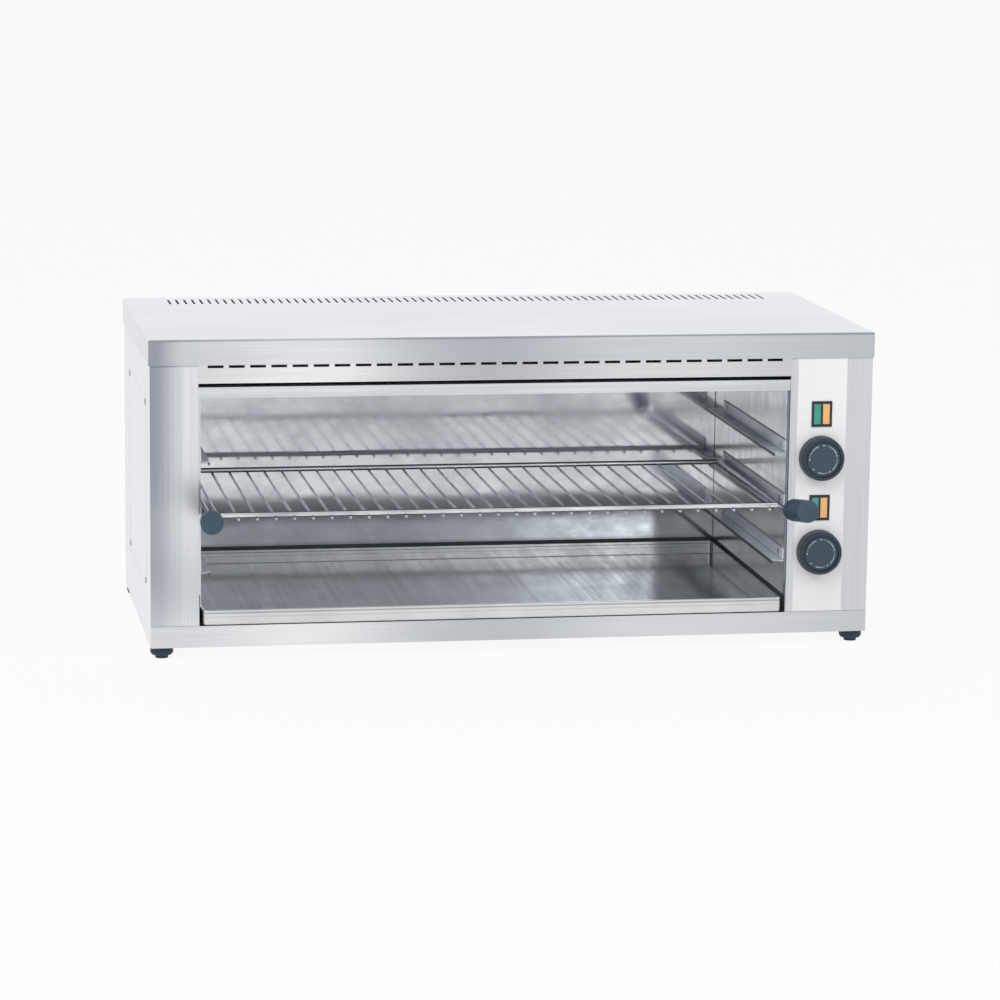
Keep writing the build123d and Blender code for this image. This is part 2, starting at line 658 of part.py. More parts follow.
def gland_nut():
    plane = Plane(origin=(GLAND_X, REAR_INNER, GLAND_Z), x_dir=(1, 0, 0), z_dir=(0, -1, 0))
    nut = extrude(plane * RegularPolygon(GLAND_FLANGE_R, 6), GLAND_NUT_H)
    start = (GLAND_X, REAR_INNER - GLAND_NUT_H - 1, GLAND_Z)
    hole = rod(start, (GLAND_X, REAR_INNER + 1, GLAND_Z), GLAND_THREAD_R)
    return nut - hole


def terminal_block():
    y1 = REAR_INNER - TERMINAL_FROM_REAR
    y0 = y1 - TERMINAL_WIDTH
    x0 = GLAND_X - TERMINAL_LENGTH / 2
    body = block(x0, x0 + TERMINAL_LENGTH, y0, y1, SHEET, SHEET + TERMINAL_HEIGHT)
    top = SHEET + TERMINAL_HEIGHT
    pitch = TERMINAL_LENGTH / TERMINAL_POLES
    wells = []
    for i in range(TERMINAL_POLES):
        x = x0 + pitch * (i + 0.5)
        for y in (y0 + TERMINAL_WIDTH / 4, y1 - TERMINAL_WIDTH / 4):
            wells.append(rod((x, y, top - TERMINAL_POLE_DEPTH), (x, y, top + 1), TERMINAL_POLE_R))
    return body - wells


def energy_regulator(z):
    """The switch body behind the column, with its bush, screw holes and blade tabs."""
    half = REGULATOR_SIZE / 2
    front = FACE_BACK
    back = front + REGULATOR_DEPTH
    case = block(CONTROL_X - half, CONTROL_X + half, front, back, z - half, z + half)
    bush = rod((CONTROL_X, OVERLAY_FACE, z), (CONTROL_X, front, z), REGULATOR_BUSH_R)
    tabs = []
    for i in range(TAB_COUNT):
        x = CONTROL_X + TAB_PITCH * (i - (TAB_COUNT - 1) / 2)
        x0 = x - TAB_THICK / 2
        z0 = z - TAB_WIDTH / 2
        tabs.append(block(x0, x0 + TAB_THICK, back, back + TAB_LENGTH, z0, z0 + TAB_WIDTH))
    bore_end = front + SHAFT_IN_REGULATOR + 1.0
    bore = rod((CONTROL_X, OVERLAY_FACE - 1, z), (CONTROL_X, bore_end, z), SHAFT_R + SHAFT_PLAY)
    screw_end = OVERLAY_FACE + REGULATOR_SCREW_LENGTH
    screws = []
    for sx, sz in regulator_screw_spots(z):
        screws.append(rod((sx, front - 1, sz), (sx, screw_end, sz), REGULATOR_SCREW_R))
    return case + bush + tabs - bore - screws


def regulator_screws():
    screws = []
    for z in KNOB_HEIGHTS:
        for sx, sz in regulator_screw_spots(z):
            head = rod((sx, OVERLAY_FACE - REGULATOR_HEAD_H, sz), (sx, OVERLAY_FACE, sz), REGULATOR_HEAD_R)
            end = OVERLAY_FACE + REGULATOR_SCREW_LENGTH
            shank = rod((sx, OVERLAY_FACE, sz), (sx, end, sz), REGULATOR_SCREW_R)
            screws.append(head + shank)
    return Compound(screws)


def knob(z):
    """A round knob with a rim, a groove inside it, a flat dial disc and a hollow back."""
    groove_outer = KNOB_R - KNOB_TAPER - KNOB_RIM
    disc_r = groove_outer - KNOB_GROOVE
    collar_r = SHAFT_R + 3.0
    profile = [
        (0, KNOB_HOLLOW_R),
        (0, KNOB_R),
        (KNOB_DEPTH - 1.5, KNOB_R - KNOB_TAPER),
        (KNOB_DEPTH, KNOB_R - KNOB_TAPER - 1.2),
        (KNOB_DEPTH, groove_outer),
        (KNOB_DEPTH - KNOB_GROOVE_DEPTH, groove_outer - 0.4),
        (KNOB_DEPTH - KNOB_GROOVE_DEPTH, disc_r + 0.4),
        (KNOB_DEPTH - KNOB_DISC_DROP, disc_r),
        (KNOB_DEPTH - KNOB_DISC_DROP, 0),
        (KNOB_DEPTH - KNOB_GROOVE_DEPTH - 2.0, 0),
        (KNOB_DEPTH - KNOB_GROOVE_DEPTH - 2.0, SHAFT_R),
        (KNOB_HOLLOW_DEPTH - 3.0, SHAFT_R),
        (KNOB_HOLLOW_DEPTH - 3.0, collar_r),
        (KNOB_HOLLOW_DEPTH, collar_r),
        (KNOB_HOLLOW_DEPTH, KNOB_HOLLOW_R),
    ]
    plane = Plane(origin=(CONTROL_X, KNOB_BACK, z), x_dir=(0, -1, 0), z_dir=(1, 0, 0))
    return turned(profile, plane)


def regulator_shaft(z):
    end = FACE_BACK + SHAFT_IN_REGULATOR
    start = KNOB_FACE + KNOB_GROOVE_DEPTH + 2.0
    return rod((CONTROL_X, start, z), (CONTROL_X, end, z), SHAFT_R)


def lens_columns():
    """The middle x of the green and of the amber window."""
    offset = (LENS_WIDTH + LENS_DIVIDER) / 2
    return CONTROL_X - offset, CONTROL_X + offset


def lamp_bezel(z):
    face = OVERLAY_FACE - LAMP_RIM
    half_w = LAMP_WIDTH / 2
    half_h = LAMP_HEIGHT / 2
    rim = block(CONTROL_X - half_w, CONTROL_X + half_w, face, OVERLAY_FACE, z - half_h, z + half_h)
    body_w = half_w - LAMP_BODY_INSET
    body_h = half_h - LAMP_BODY_INSET
    back = OVERLAY_FACE + LAMP_BODY_DEPTH
    body = block(CONTROL_X - body_w, CONTROL_X + body_w, OVERLAY_FACE, back, z - body_h, z + body_h)
    pockets = [lens(x, z, face - 1) for x in lens_columns()]
    return rim + body - pockets


def lens(x, z, front):
    back = OVERLAY_FACE - LAMP_RIM + LENS_SET_BACK + LENS_DEPTH
    x0 = x - LENS_WIDTH / 2
    z0 = z - LENS_HEIGHT / 2
    return block(x0, x0 + LENS_WIDTH, front, back, z0, z0 + LENS_HEIGHT)


def lamp_lens(x, z):
    return lens(x, z, OVERLAY_FACE - LAMP_RIM + LENS_SET_BACK)


def quartz_tube(y):
    inset = CAP_SOCKET
    return rod((CAP_INNER_LEFT - inset, y, TUBE_Z), (CAP_INNER_RIGHT + inset, y, TUBE_Z), TUBE_R)


def tube_ends():
    """Each tube end's inner face and the way outwards, left then right."""
    return ((CAP_INNER_LEFT, -1), (CAP_INNER_RIGHT, 1))


def tube_end_caps():
    # Ceramic caps, each with its socket for the tube and its terminal pin.
    caps = []
    for y in TUBE_YS:
        for inner, way in tube_ends():
            body = rod((inner, y, TUBE_Z), (inner + way * CAP_LENGTH, y, TUBE_Z), CAP_R)
            socket = rod((inner - way, y, TUBE_Z), (inner + way * CAP_SOCKET, y, TUBE_Z), TUBE_R)
            pin_end = inner + way * (CAP_LENGTH + STUD_LENGTH)
            pin = rod((inner + way * CAP_SOCKET, y, TUBE_Z), (pin_end, y, TUBE_Z), STUD_R)
            caps.append(body - socket + pin)
    return Compound(caps)


def element_bracket_right():
    """A holed strip that carries the tube ends, with a foot against the chamber wall."""
    plate_x = CAP_INNER_RIGHT + CAP_LENGTH / 2
    y0 = TUBE_YS[0] - BRACKET_MARGIN
    y1 = TUBE_YS[-1] + BRACKET_MARGIN
    low = TUBE_Z - BRACKET_HEIGHT / 2
    plate = block(plate_x, plate_x + SHEET, y0, y1, low, low + BRACKET_HEIGHT)
    leg = block(WALL_RIGHT + LINER, plate_x, y0, y1, low, low + SHEET)
    holes = [rod((plate_x - 1, y, TUBE_Z), (plate_x + SHEET + 1, y, TUBE_Z), CAP_R) for y in TUBE_YS]
    return plate + leg - holes


def prong(side):
    """Where a side rod bends up and out, the way it then runs, and its handle's neck."""
    x = RACK_RIGHT if side > 0 else RACK_LEFT
    bend = Vector(x, RACK_FRONT - PRONG_STRAIGHT, ROD_Z)
    way = Vector(side * PRONG_SPLAY, -1, PRONG_RISE).normalized()
    cap = bend + way * ((bend.Y + HANDLE_REACH) / -way.Y)
    neck = cap - way * (HANDLE_LENGTH + HANDLE_TAPER)
    return bend, way, neck


def rack_side_rod(side):
    """A side rod that lies on the runner and bends up into its handle."""
    bend, way, neck = prong(side)
    straight = rod((bend.X, RACK_BACK, ROD_Z), bend, ROD_R)
    rising = rod(bend, neck + way * ROD_IN_HANDLE, ROD_R)
    knuckle = Pos(*bend) * Sphere(ROD_R)
    return straight + knuckle + rising


def rack_cross_rods():
    left = RACK_LEFT + ROD_R - WELD_SINK
    right = RACK_RIGHT - ROD_R + WELD_SINK
    front_y = RACK_FRONT
    back_y = RACK_BACK - ROD_R
    return Compound([rod((left, y, ROD_Z), (right, y, ROD_Z), ROD_R) for y in (front_y, back_y)])


def rack_wires():
    y0 = RACK_FRONT - WIRE_OVERHANG
    y1 = RACK_BACK - ROD_R + WIRE_OVERHANG
    middle = (RACK_LEFT + RACK_RIGHT) / 2
    xs = [middle + WIRE_PITCH * (i - (WIRE_COUNT - 1) / 2) for i in range(WIRE_COUNT)]
    return Compound([rod((x, y0, WIRE_Z), (x, y1, WIRE_Z), WIRE_R) for x in xs])


def rack_handle(side):
    """A heat-proof grip with a domed neck, on the risen end of the side rod."""
    bend, way, neck = prong(side)
    length = HANDLE_LENGTH + HANDLE_TAPER
    profile = [
        (0, ROD_R),
        (0, HANDLE_NECK_R),
        (0.1 * HANDLE_TAPER, 0.6 * HANDLE_R),
        (0.26 * HANDLE_TAPER, 0.78 * HANDLE_R),
        (0.48 * HANDLE_TAPER, 0.91 * HANDLE_R),
        (0.74 * HANDLE_TAPER, 0.98 * HANDLE_R),
        (HANDLE_TAPER, HANDLE_R),
        (length - HANDLE_EDGE, HANDLE_R),
        (length, HANDLE_R - HANDLE_EDGE),
        (length, 0),
        (ROD_IN_HANDLE, 0),
        (ROD_IN_HANDLE, ROD_R),
    ]
    across = way.cross(Vector(0, 0, 1)).normalized()
    return turned(profile, Plane(origin=neck, x_dir=way, z_dir=across))


def crumb_tray():
    """A shallow pressed pan with a narrow hem around its rim and a bead along its front."""
    pan = tray_form(0, TRAY_BOTTOM, TRAY_TOP)
    inside = tray_form(TRAY_SHEET, TRAY_BOTTOM + TRAY_SHEET, TRAY_TOP + 1)
    rim = extrude(Pos(0, 0, TRAY_TOP) * tray_outline(0), -TRAY_SHEET)
    hole = extrude(Pos(0, 0, TRAY_TOP + 1) * tray_outline(TRAY_HEM), -TRAY_SHEET - 2)
    bead_z = TRAY_TOP - TRAY_BEAD_R
    bead_start = (TRAY_LEFT + TRAY_CORNER_R, TRAY_FRONT, bead_z)
    bead = rod(bead_start, (TRAY_RIGHT - TRAY_CORNER_R, TRAY_FRONT, bead_z), TRAY_BEAD_R)
    return pan - inside + (rim - hole) + bead


def tray_form(inset, bottom, top):
    """A block of the tray's outline with its bottom edge rounded."""
    form = extrude(Pos(0, 0, bottom) * tray_outline(inset), top - bottom)
    return fillet(form.edges().group_by(Axis.Z)[0], TRAY_BEND_R - inset)


def tray_outline(inset):
    width = TRAY_RIGHT - TRAY_LEFT - 2 * inset
    depth = TRAY_REAR - TRAY_FRONT - 2 * inset
    centre = ((TRAY_LEFT + TRAY_RIGHT) / 2, (TRAY_FRONT + TRAY_REAR) / 2)
    return Pos(*centre) * RectangleRounded(width, depth, TRAY_CORNER_R - inset)


def wiring_loom():
    """Leads from the terminal block up to both regulators."""
    top = SHEET + TERMINAL_HEIGHT
    block_front = REAR_INNER - TERMINAL_FROM_REAR - TERMINAL_WIDTH
    runs = []
    leads = (KNOB_HEIGHTS[1], KNOB_HEIGHTS[0])
    pitch = TERMINAL_LENGTH / TERMINAL_POLES
    regulator_back = FACE_BACK + REGULATOR_DEPTH + TAB_LENGTH
    for i, z in enumerate(leads):
        x = GLAND_X + pitch * (i * 2 - 1)
        tab_x = CONTROL_X + TAB_PITCH * (i - 0.5)
        y = block_front + TERMINAL_WIDTH / 4
        runs.append(
            [
                (x, y, top - TERMINAL_POLE_DEPTH),
                (x, y, z - 6.0 * i - 6.0),
                (tab_x, regulator_back + 50.0, z),
                (tab_x, regulator_back, z),
            ]
        )
    solids = []
    for points in runs:
        path = FilletPolyline(*points, radius=LOOM_BEND_R)
        start = Plane(origin=path @ 0, z_dir=path % 0)
        solids.append(sweep(start * Circle(WIRE_LOOM_R), path=path))
    return Compound(solids)


def place(shape):
    """Moves a piece into the frame with the origin on the table under the middle."""
    return Pos(0, -MIDDLE_Y, FOOT_HEIGHT) * shape


def pieces():
    """Every piece by its node name."""
    made = {
        "base_pan": base_pan(),
        "chamber_floor": chamber_floor(),
        "left_side_panel": side_panel_left(),
        "right_side_panel": side_panel_right(),
        "rear_panel": rear_panel(),
        "top_cover": top_cover(),
        "left_front_column": left_front_column(),
        "right_front_column": right_front_column(),
        "control_overlay": control_overlay(),
        "front_crossbar": front_crossbar(),
        "hood_front_bar": hood_front_bar(),
        "ceiling_reflector": ceiling_reflector(),
        "chamber_back_wall": chamber_back_wall(),
        "chamber_right_wall": chamber_right_wall(),
        "chamber_left_wall": mirrored(chamber_right_wall()),
        "element_bracket_right": element_bracket_right(),
        "element_bracket_left": mirrored(element_bracket_right()),
        "tube_end_caps": tube_end_caps(),
        "terminal_block": terminal_block(),
        "cable_gland": cable_gland(),
        "gland_nut": gland_nut(),
        "wiring_loom": wiring_loom(),
        "foot_screws": foot_screws(),
        "casing_screws": casing_screws(),
        "runner_screws": runner_screws(),
        "regulator_screws": regulator_screws(),
        "rack_side_rod_left": rack_side_rod(-1),
        "rack_side_rod_right": rack_side_rod(1),
        "rack_cross_rods": rack_cross_rods(),
        "rack_wires": rack_wires(),
        "rack_handle_left": rack_handle(-1),
        "rack_handle_right": rack_handle(1),
        "crumb_tray": crumb_tray(),
    }
    for level, ledge in zip(RUNNER_LEVELS, RUNNER_LEDGE_HEIGHTS):
        made[f"runner_right_{level}"] = runner_right(ledge)
        made[f"runner_left_{level}"] = mirrored(runner_right(ledge))
    for level, z in zip(CONTROL_LEVELS, KNOB_HEIGHTS):
        made[f"energy_regulator_{level}"] = energy_regulator(z)
        made[f"regulator_shaft_{level}"] = regulator_shaft(z)
        made[f"knob_{level}"] = knob(z)
    green_x, amber_x = lens_columns()
    for level, z in zip(CONTROL_LEVELS, LAMP_HEIGHTS):
        made[f"lamp_bezel_{level}"] = lamp_bezel(z)
        made[f"lamp_green_{level}"] = lamp_lens(green_x, z)
        made[f"lamp_amber_{level}"] = lamp_lens(amber_x, z)
    for number, y in enumerate(TUBE_YS, start=1):
        made[f"quartz_tube_{number}"] = quartz_tube(y)
    for side, x in zip(("left", "right"), FOOT_XS):
        for end, y in zip(("front", "rear"), FOOT_YS):
            made[f"foot_{end}_{side}"] = foot(x, y)
    return made


os.makedirs("parts", exist_ok=True)
for node, shape in pieces().items():
    export_step(place(shape), f"parts/{node}.step")
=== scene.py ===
import json
import math

import bmesh
import bpy
from mathutils import Matrix, Vector


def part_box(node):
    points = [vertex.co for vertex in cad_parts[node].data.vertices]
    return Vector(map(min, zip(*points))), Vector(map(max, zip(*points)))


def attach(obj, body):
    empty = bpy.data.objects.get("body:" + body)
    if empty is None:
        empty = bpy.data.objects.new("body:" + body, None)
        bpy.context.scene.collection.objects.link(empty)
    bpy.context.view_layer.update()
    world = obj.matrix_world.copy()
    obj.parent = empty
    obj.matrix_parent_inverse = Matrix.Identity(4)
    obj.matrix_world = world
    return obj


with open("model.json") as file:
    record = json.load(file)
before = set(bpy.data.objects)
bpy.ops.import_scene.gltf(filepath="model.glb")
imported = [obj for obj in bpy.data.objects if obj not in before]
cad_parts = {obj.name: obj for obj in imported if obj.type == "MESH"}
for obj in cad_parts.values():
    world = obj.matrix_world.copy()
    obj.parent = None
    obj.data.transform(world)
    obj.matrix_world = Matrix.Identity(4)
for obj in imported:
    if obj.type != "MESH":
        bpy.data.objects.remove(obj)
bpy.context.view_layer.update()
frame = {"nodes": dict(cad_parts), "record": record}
nodes = frame["nodes"]
MM = 0.001


# Camera, worked out from the cabinet's edges in the photograph

CAMERA_PLACE = Vector((-0.71125, -4.07184, 0.87955))
CAMERA_LOOKS = Vector((0.17114, 0.96954, -0.17523))
CAMERA_ROLL = math.radians(-0.70)
CAMERA_LENS = 133.79
CAMERA_SENSOR = 36.0
CAMERA_REACH = 200.0


def make_camera():
    data = bpy.data.cameras.new("camera")
    data.sensor_width = CAMERA_SENSOR
    data.lens = CAMERA_LENS
    data.clip_end = CAMERA_REACH
    camera = bpy.data.objects.new("camera", data)
    bpy.context.scene.collection.objects.link(camera)
    facing = CAMERA_LOOKS.to_track_quat("-Z", "Y").to_matrix().to_4x4()
    roll = Matrix.Rotation(CAMERA_ROLL, 4, CAMERA_LOOKS.normalized())
    camera.matrix_world = Matrix.Translation(CAMERA_PLACE) @ roll @ facing
    bpy.context.scene.camera = camera


# Corners of the pieces whose finish changes from one place to another

column_low, column_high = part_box("left_front_column")
right_column_low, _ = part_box("right_front_column")
lid_low, lid_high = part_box("top_cover")
back_low, back_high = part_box("chamber_back_wall")
right_wall_low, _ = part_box("chamber_right_wall")
tray_low, tray_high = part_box("crumb_tray")
hood_low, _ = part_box("hood_front_bar")
pan_low, pan_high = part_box("chamber_floor")
_, reflector_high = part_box("ceiling_reflector")
wires_low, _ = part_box("rack_wires")


def knob_axis(knob):
    """Where a knob's axis, which runs along y, stands in x and z."""
    low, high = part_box(knob)
    return (low.x + high.x) / 2, (low.z + high.z) / 2


# Short calls for shader nodes

def linear(value):
    """One channel of a colour as seen on a screen, 0 to 255, as a linear number."""
    share = value / 255
    if share <= 0.04045:
        return share / 12.92
    return ((share + 0.055) / 1.055) ** 2.4


def colour(red, green, blue):
    return (linear(red), linear(green), linear(blue), 1.0)


WHITE = (1.0, 1.0, 1.0, 1.0)
EVEN = (0.35, 0.65)
GLOSS_SPREAD = (0.3, 0.7)


class Graph:
    """The node tree of a material or world. A value may be a plain one or another node's socket."""

    def __init__(self, tree):
        self.tree = tree

    def node(self, kind, **settings):
        made = self.tree.nodes.new(kind)
        for key, value in settings.items():
            setattr(made, key, value)
        return made

    def feed(self, socket, value):
        """Links a socket, or sets it to a plain value."""
        if hasattr(value, "is_linked"):
            self.tree.links.new(value, socket)
        else:
            socket.default_value = value

    def math(self, operation, first, second):
        made = self.node("ShaderNodeMath", operation=operation)
        self.feed(made.inputs[0], first)
        self.feed(made.inputs[1], second)
        return made.outputs[0]

    def ramp(self, value, start, end, low, high, smooth=False):
        """Maps value from start..end to low..high and holds it outside."""
        made = self.node("ShaderNodeMapRange")
        if smooth:
            made.interpolation_type = "SMOOTHSTEP"
        made.inputs["From Min"].default_value = start
        made.inputs["From Max"].default_value = end
        made.inputs["To Min"].default_value = low
        made.inputs["To Max"].default_value = high
        self.feed(made.inputs["Value"], value)
        return made.outputs["Result"]

    def reverse(self, value):
        """0 for 1 and 1 for 0."""
        return self.ramp(value, 0.0, 1.0, 1.0, 0.0)

    def mix_shaders(self, share, first, second):
        made = self.node("ShaderNodeMixShader")
        for socket, value in zip(made.inputs, (share, first, second)):
            self.feed(socket, value)
        return made.outputs[0]


class Paint(Graph):
    """A procedural material, laid out by the place on the piece."""

    def __init__(self, name, **settings):
        self.material = bpy.data.materials.new(name)
        self.material.use_nodes = True
        super().__init__(self.material.node_tree)
        self.shader = self.tree.nodes["Principled BSDF"]
        self.place = self.node("ShaderNodeTexCoord").outputs["Object"]
        for label, value in settings.items():
            self.set(label.replace("_", " "), value)

    def set(self, label, value):
        """Sets or links one socket of the shader. Its name is given in lower case."""
        names = [socket.name.lower() for socket in self.shader.inputs]
        self.feed(self.shader.inputs[names.index(label)], value)

    def noise(self, scale, detail=2.0, rough=0.5):
        """Noise whose scale is given per metre along x, y and z."""
        mapping = self.node("ShaderNodeMapping")
        mapping.inputs["Scale"].default_value = scale
        self.feed(mapping.inputs["Vector"], self.place)
        made = self.node("ShaderNodeTexNoise")
        made.inputs["Scale"].default_value = 1.0
        made.inputs["Detail"].default_value = detail
        made.inputs["Roughness"].default_value = rough
        self.feed(made.inputs["Vector"], mapping.outputs["Vector"])
        return made.outputs["Fac"]

    def bands(self, axis, scale, distortion=0.0):
        """Soft stripes, one after another along x or z."""
        made = self.node("ShaderNodeTexWave", wave_type="BANDS", bands_direction=axis)
        made.inputs["Scale"].default_value = scale
        made.inputs["Distortion"].default_value = distortion
        self.feed(made.inputs["Vector"], self.place)
        return made.outputs["Fac"]

    def mix(self, share, first, second):
        """A colour between two colours."""
        made = self.node("ShaderNodeMix", data_type="RGBA")
        for index, value in ((0, share), (6, first), (7, second)):
            self.feed(made.inputs[index], value)
        return made.outputs[2]

    def mottle(self, pattern, light, dark, spread=EVEN, most=1.0):
        """Light where the pattern is below the spread, and dark, up to a share, above it."""
        return self.mix(self.ramp(pattern, *spread, 0.0, most), light, dark)

    def gloss(self, pattern, rough, spread=GLOSS_SPREAD):
        """Roughness that follows the pattern between two levels."""
        self.set("roughness", self.ramp(pattern, *spread, *rough))

    def bump(self, height, strength, distance):
        made = self.node("ShaderNodeBump")
        made.inputs["Strength"].default_value = strength
        made.inputs["Distance"].default_value = distance
        self.feed(made.inputs["Height"], height)
        self.feed(self.shader.inputs["Normal"], made.outputs["Normal"])

    def blend(self, first, first_share, second, second_share):
        """The sum of two patterns, each times its share."""
        scaled = self.math("MULTIPLY", first, first_share)
        return self.math("ADD", scaled, self.math("MULTIPLY", second, second_share))

    def total(self, *terms):
        """A sum of (socket, weight) pairs and plain numbers, held between 0 and 1."""
        result = 0.0
        for term in terms:
            if isinstance(term, tuple):
                term = self.math("MULTIPLY", term[0], term[1])
            result = self.math("ADD", result, term)
        return self.ramp(result, 0.0, 1.0, 0.0, 1.0)

    def along(self, axis):
        """The place along x, y or z, in metres."""
        split = self.node("ShaderNodeSeparateXYZ")
        self.feed(split.inputs[0], self.place)
        return split.outputs["xyz".index(axis)]

    def fade(self, axis, start, end, first=0.0, last=1.0, smooth=False):
        """From first at start to last at end along an axis, held outside."""
        return self.ramp(self.along(axis), start, end, first, last, smooth)

    def near(self, axis, middle, reach):
        """1 at a place along an axis, falling smoothly to 0 at reach from it."""
        off = self.math("ABSOLUTE", self.math("SUBTRACT", self.along(axis), middle), 0.0)
        return self.ramp(off, 0.0, reach, 1.0, 0.0, smooth=True)

    def from_axis(self, middle_x, middle_z):
        """The distance from an axis that runs along y, in metres."""
        off_x = self.math("SUBTRACT", self.along("x"), middle_x)
        off_z = self.math("SUBTRACT", self.along("z"), middle_z)
        squares = self.math("ADD", self.math("POWER", off_x, 2.0), self.math("POWER", off_z, 2.0))
        return self.math("SQRT", squares, 0.0)


# Sheet steel. Noise is scaled per metre, so streaks run along the axis with the small number

FINE_GRAIN = 2600.0
WIDE_GRAIN = 420.0
GRAIN_LENGTH = 5.0
SHEET_CLOUD = (3.0, 3.0, 3.0)
SHEET_WAVES = (9.0, 9.0, 14.0)
WIPED = (14.0, 60.0, 22.0)
BAKED_STAINS = (22.0, 30.0, 22.0)
MILL_GRIT = (900.0, 900.0, 900.0)
SOFT_SPREAD = (0.35, 0.7)
WIPED_SPREAD = (0.4, 0.75)
STAINED_SPREAD = (0.38, 0.66)
STEEL_DARK = colour(136, 144, 158)
# Near black: the dark end of painted shade on the runners' lips and the hood bar's flanges, and the
# hood bar's darkest grain
SHADE_AND_GRAIN_BLACK = colour(20, 22, 26)


def grain_scale(axis, across):
    """Stretches noise along the way the sheet was brushed."""
    scale = [across, across, across]
    scale["xyz".index(axis)] = GRAIN_LENGTH
    return scale


def brushed(name, light, dark, grain, rough=(0.24, 0.38), shade=None):
    """Brushed sheet. shade is a function of the paint that gives 0 for light and 1 for dark."""
    paint = Paint(name, metallic=1.0)
    fine = paint.noise(grain_scale(grain, FINE_GRAIN), detail=2.0)
    wide = paint.noise(grain_scale(grain, WIDE_GRAIN), detail=3.0)
    cloud = paint.noise(SHEET_CLOUD, detail=2.0)
    lines = paint.blend(fine, 0.55, wide, 0.45)
    lined = paint.mottle(lines, light, dark, most=0.22)
    patchy = paint.mottle(cloud, lined, dark, spread=SOFT_SPREAD, most=0.16)
    # painted light and shade: the colour is mixed towards the dark one where shade gives 1
    if shade:
        patchy = paint.mix(shade(paint), patchy, dark)
    paint.set("base color", patchy)
    paint.gloss(lines, rough)
    paint.bump(lines, strength=0.10, distance=0.05 * MM)
    return paint.material


def polished(name, light, dark, rough=(0.07, 0.16), wave=0.35, shade=None, metal=1.0):
    """Mirror-polished sheet that is slightly wavy and smeared by wiping."""
    paint = Paint(name, metallic=metal)
    waves = paint.noise(SHEET_WAVES, detail=1.0)
    smear = paint.noise(WIPED, detail=5.0, rough=0.65)
    base = paint.mottle(smear, light, dark, spread=WIPED_SPREAD, most=0.35)
    # painted light and shade: the colour is mixed towards the dark one where shade gives 1
    if shade:
        base = paint.mix(shade(paint), base, dark)
    paint.set("base color", base)
    paint.gloss(smear, rough, spread=SOFT_SPREAD)
    paint.bump(waves, strength=wave, distance=2.0 * MM)
    return paint.material


def plain_steel(name, light, dark):
    """Steel with a mill finish."""
    paint = Paint(name, metallic=1.0)
    grit = paint.noise(MILL_GRIT, detail=4.0)
    paint.set("base color", paint.mottle(grit, light, dark))
    paint.gloss(grit, (0.3, 0.45))
    paint.bump(grit, strength=0.08, distance=0.05 * MM)
    return paint.material


def gap_shaded_steel(name, shade_at, stained=0.0):
    """Steel with brown stains, and with painted shade where the given mask function gives 1."""
    paint = Paint(name)
    smear = paint.noise(WIPED, detail=5.0, rough=0.65)
    stains = paint.noise(BAKED_STAINS, detail=6.0, rough=0.7)
    gap_shade = shade_at(paint)
    clean = paint.mottle(
        smear, colour(216, 220, 226), colour(182, 188, 197), spread=WIPED_SPREAD, most=0.35
    )
    stain_share = paint.ramp(stains, *STAINED_SPREAD, 0.4 * stained, stained)
    used = paint.mix(stain_share, clean, colour(88, 84, 80))
    # the painted shade colour, for steel that shows only in dark gaps
    shade_colour = paint.mottle(smear, colour(112, 118, 128), colour(84, 90, 99), spread=SOFT_SPREAD)
    paint.set("base color", paint.mix(gap_shade, used, shade_colour))
    paint.set("metallic", paint.reverse(gap_shade))
    paint.set("roughness", paint.total((gap_shade, 0.3), (smear, 0.2), (stains, 0.3 * stained), 0.1))
    return paint.material


# Crumb tray: bands in from its front and rear, up from its floor, and a painted shadow line and a
# fainter dark line below its rim

TRAY_STREAKS = (130.0, 3.0, 130.0)
TRAY_SMEAR = (16.0, 30.0, 20.0)
TRAY_FRONT = (2.0 * MM, 3.0 * MM)
TRAY_REAR = (2.2 * MM, 1.4 * MM)
TRAY_FLOOR = (1.2 * MM, 2.0 * MM)
HEM_DROP = 3.3 * MM
HEM_REACH = 0.9 * MM
FAINT_DROP = 7.5 * MM
FAINT_REACH = 1.1 * MM


def tray_steel():
    """Bright walls and hem round a darker floor, which is streaked from front to back. A painted
    shadow line runs under the hem, and a fainter dark line lower down.
    """
    paint = Paint("tray_steel")
    streaks = paint.noise(TRAY_STREAKS, detail=3.0, rough=0.6)
    smear = paint.noise(TRAY_SMEAR, detail=4.0, rough=0.6)
    worn = paint.total((streaks, 0.6), (smear, 0.4))
    front = paint.fade("y", tray_low.y + TRAY_FRONT[0], tray_low.y + TRAY_FRONT[1], 1.0, 0.0)
    rear = paint.fade("y", tray_high.y - TRAY_REAR[0], tray_high.y - TRAY_REAR[1])
    raised = paint.fade("z", tray_low.z + TRAY_FLOOR[0], tray_low.z + TRAY_FLOOR[1], smooth=True)
    wall = paint.math("MAXIMUM", raised, paint.math("MAXIMUM", front, rear))
    rear_bend = paint.math("MULTIPLY", rear, paint.reverse(raised))
    folded = paint.math("MAXIMUM", front, rear_bend)
    # painted shadow line under the hem
    hem_line = paint.near("z", tray_high.z - HEM_DROP, HEM_REACH)
    faint_line = paint.near("z", tray_high.z - FAINT_DROP, FAINT_REACH)
    floor = paint.mottle(worn, colour(158, 163, 170), colour(116, 121, 129))
    sides = paint.mottle(
        smear, colour(226, 227, 228), colour(198, 198, 198), spread=SOFT_SPREAD, most=0.5
    )
    line_share = paint.total((hem_line, 0.62), (faint_line, 0.22))
    lined = paint.mix(line_share, sides, colour(84, 86, 90))
    paint.set("base color", paint.mix(wall, floor, lined))
    paint.set("metallic", paint.ramp(folded, 0.0, 1.0, 0.86, 0.5))
    paint.gloss(worn, (0.1, 0.22))
    paint.bump(streaks, strength=0.15, distance=0.15 * MM)
    return paint.material


